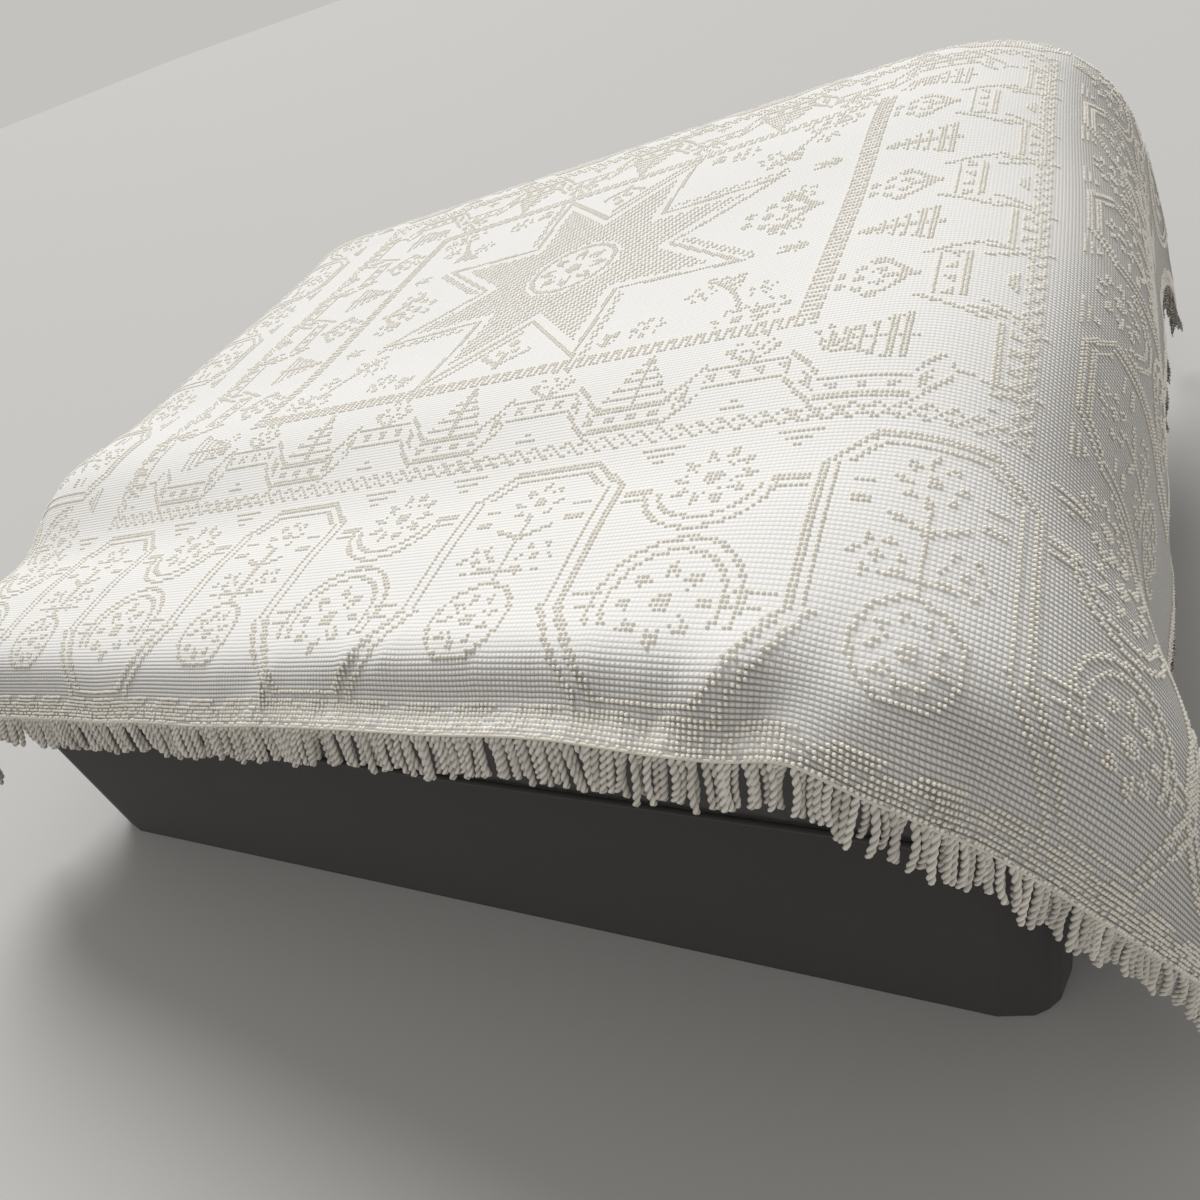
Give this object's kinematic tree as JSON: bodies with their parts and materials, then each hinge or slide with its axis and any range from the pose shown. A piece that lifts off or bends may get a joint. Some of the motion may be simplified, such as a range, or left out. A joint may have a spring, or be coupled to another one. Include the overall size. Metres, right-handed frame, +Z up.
{
  "type": "candlewick bedspread on a mattress and bed base",
  "caption": "White tufted candlewick bedspread with a twisted fringe, draped over a mattress on a plain bed base and hanging deep at the foot end.",
  "frame": {"origin": "middle of the object's box, on the floor", "axes": "+X along the bed towards the foot end, +Y across the bed towards the far long side, +Z up"},
  "size_m": [2.3658, 1.9356, 0.8748],
  "materials": {
    "bedspread": "matte",
    "fringe": "matte",
    "mattress": "matte",
    "bedBase": "matte"
  },
  "bodies": {
    "root": {"bedspread": "bedspread", "fringeFront": "fringe", "fringeFoot": "fringe", "fringeBack": "fringe", "mattress": "mattress", "bedBase": "bedBase"}
  },
  "joints": []
}
